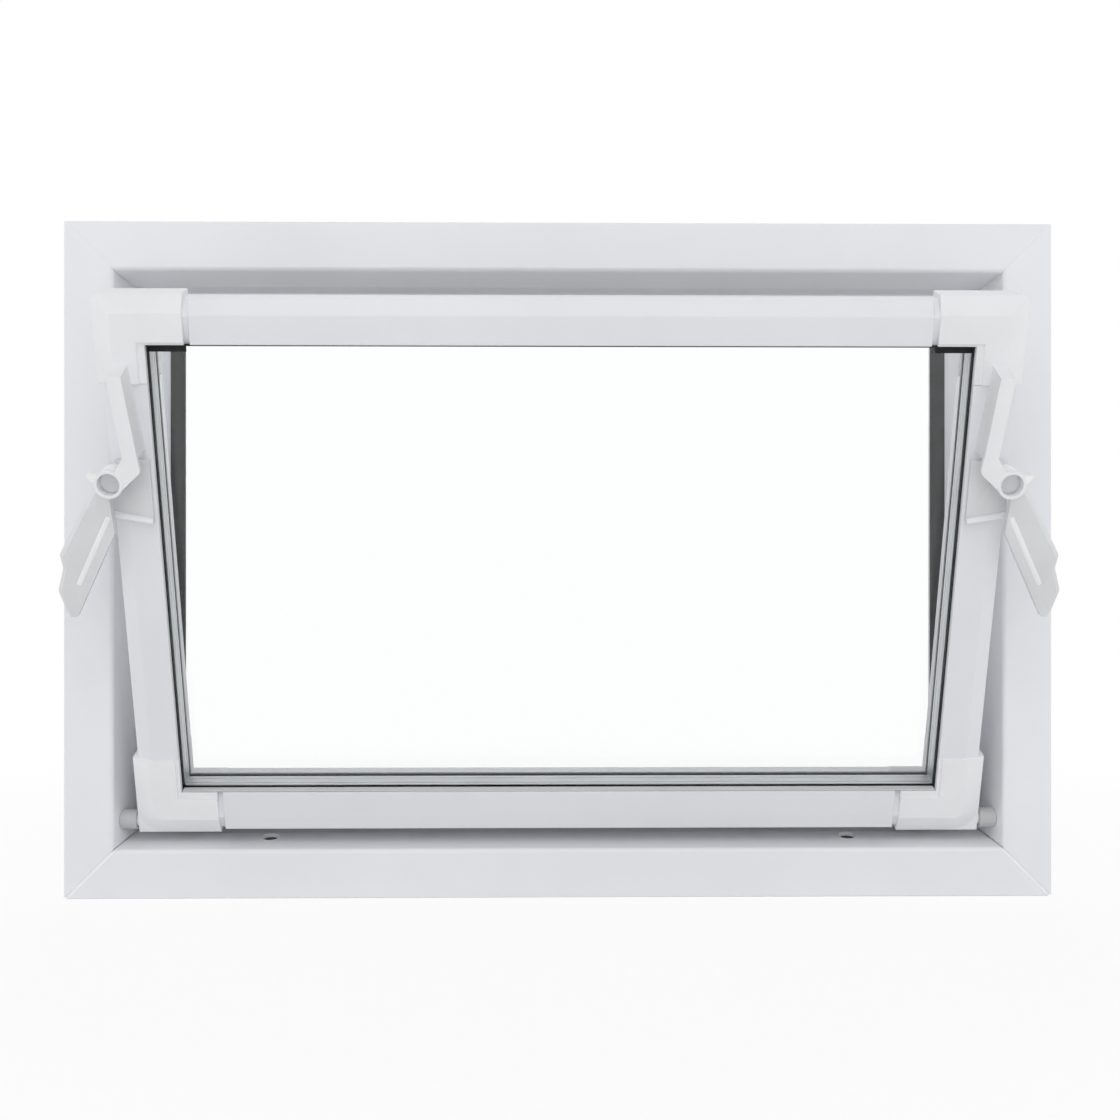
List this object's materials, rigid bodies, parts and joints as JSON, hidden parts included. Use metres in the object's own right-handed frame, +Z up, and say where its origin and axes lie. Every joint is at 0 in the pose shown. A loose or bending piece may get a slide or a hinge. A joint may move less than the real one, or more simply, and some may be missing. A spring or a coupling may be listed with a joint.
{
  "type": "tilting double-glazed utility window",
  "caption": "White plastic frame window with a bottom-hung double-glazed sash that tips inwards, with moulded corners, side stays and slotted levers.",
  "frame": {"origin": "middle of the sill's flat underside", "axes": "+X to the right and +Z up, seen from the room; +Y outwards, away from the room"},
  "size_m": [0.6, 0.1698, 0.41],
  "materials": {
    "frame_pvc": "extruded satin white PVC",
    "sash_pvc": "extruded satin white PVC",
    "moulded_plastic": "moulded white plastic",
    "bearing_nylon": "moulded grey nylon",
    "seal_rubber": "black EPDM",
    "pane_glass": "clear float glass",
    "spacer_aluminium": "mill finish, perforated"
  },
  "bodies": {
    "frame": {"frame_sill": "frame_pvc", "frame_head": "frame_pvc", "frame_jamb_left": "frame_pvc", "frame_jamb_right": "frame_pvc", "frame_seal_bottom": "seal_rubber", "frame_seal_top": "seal_rubber", "frame_seal_left": "seal_rubber", "frame_seal_right": "seal_rubber", "hinge_bearing_left": "bearing_nylon", "hinge_bearing_right": "bearing_nylon"},
    "sash": {"sash_rail_bottom": "sash_pvc", "sash_rail_top": "sash_pvc", "sash_stile_left": "sash_pvc", "sash_stile_right": "sash_pvc", "corner_moulding_bottom_left": "moulded_plastic", "corner_moulding_bottom_right": "moulded_plastic", "corner_moulding_top_left": "moulded_plastic", "corner_moulding_top_right": "moulded_plastic", "inner_pane": "pane_glass", "outer_pane": "pane_glass", "glass_spacer_bottom": "spacer_aluminium", "glass_spacer_top": "spacer_aluminium", "glass_spacer_left": "spacer_aluminium", "glass_spacer_right": "spacer_aluminium", "inner_gasket_bottom": "seal_rubber", "inner_gasket_top": "seal_rubber", "inner_gasket_left": "seal_rubber", "inner_gasket_right": "seal_rubber", "outer_gasket_bottom": "seal_rubber", "outer_gasket_top": "seal_rubber", "outer_gasket_left": "seal_rubber", "outer_gasket_right": "seal_rubber", "lever_base_left": "moulded_plastic", "lever_base_right": "moulded_plastic", "stay_bar_left": "moulded_plastic", "stay_bar_right": "moulded_plastic"},
    "left_lever": {"lever_left": "moulded_plastic"},
    "right_lever": {"lever_right": "moulded_plastic"}
  },
  "joints": [
    {"name": "sash_tilt", "type": "hinge", "parent": "frame", "child": "sash", "pos_m": [0, -0.021, 0.04593], "axis": [1, 0, 0], "range_deg": [-18.1, 0]},
    {"name": "left_lever_turn", "type": "hinge", "parent": "sash", "child": "left_lever", "pos_m": [-0.24977, -0.10352, 0.25045], "axis": [0, -0.9505, -0.3107], "range_deg": [0, 27]},
    {"name": "right_lever_turn", "type": "hinge", "parent": "sash", "child": "right_lever", "pos_m": [0.24977, -0.10352, 0.25045], "axis": [0, 0.9505, 0.3107], "range_deg": [0, 27]}
  ]
}
